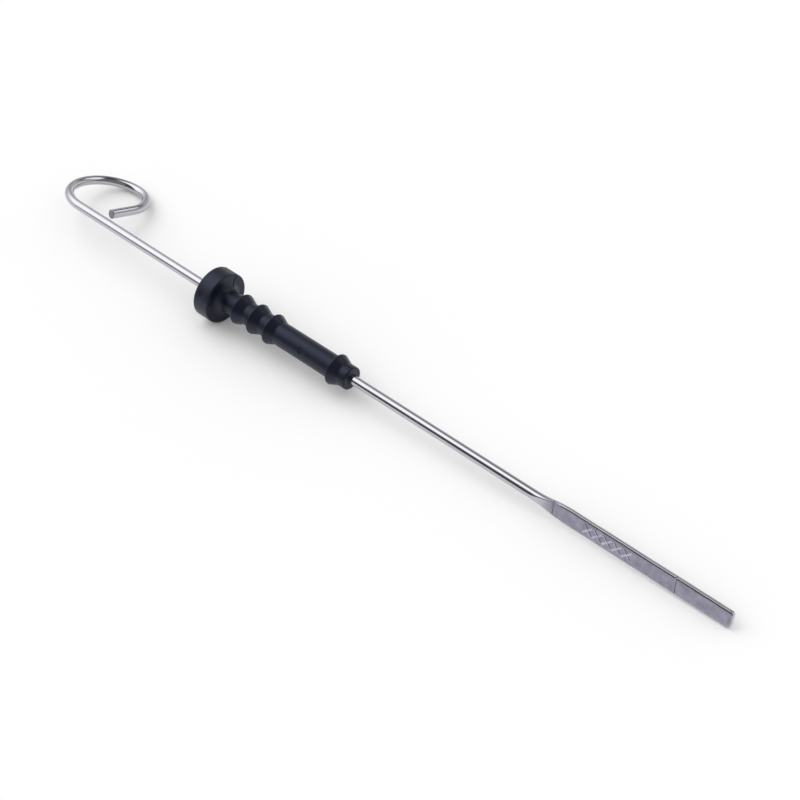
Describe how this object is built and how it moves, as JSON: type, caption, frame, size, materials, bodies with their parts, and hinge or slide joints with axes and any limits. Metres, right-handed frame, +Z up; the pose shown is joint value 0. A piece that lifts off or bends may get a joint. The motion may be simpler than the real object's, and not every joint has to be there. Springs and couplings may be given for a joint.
{
  "type": "engine oil dipstick",
  "caption": "Bent wire engine oil dipstick lying flat: open finger loop, black barbed stopper with a round cap, and a pressed blade with level lines and raised hatching.",
  "frame": {"origin": "middle of the bounding box, on the ground that the part lies on", "axes": "+X along the wire towards the blade's tip, +Y towards the far side of the finger loop, +Z up"},
  "size_m": [0.357, 0.0448, 0.022],
  "materials": {
    "plated_wire": "bright plated wire, satin blade",
    "black_rubber": "satin moulded rubber"
  },
  "bodies": {
    "root": {"gauge_rod": "plated_wire", "stopper": "black_rubber"}
  },
  "joints": []
}
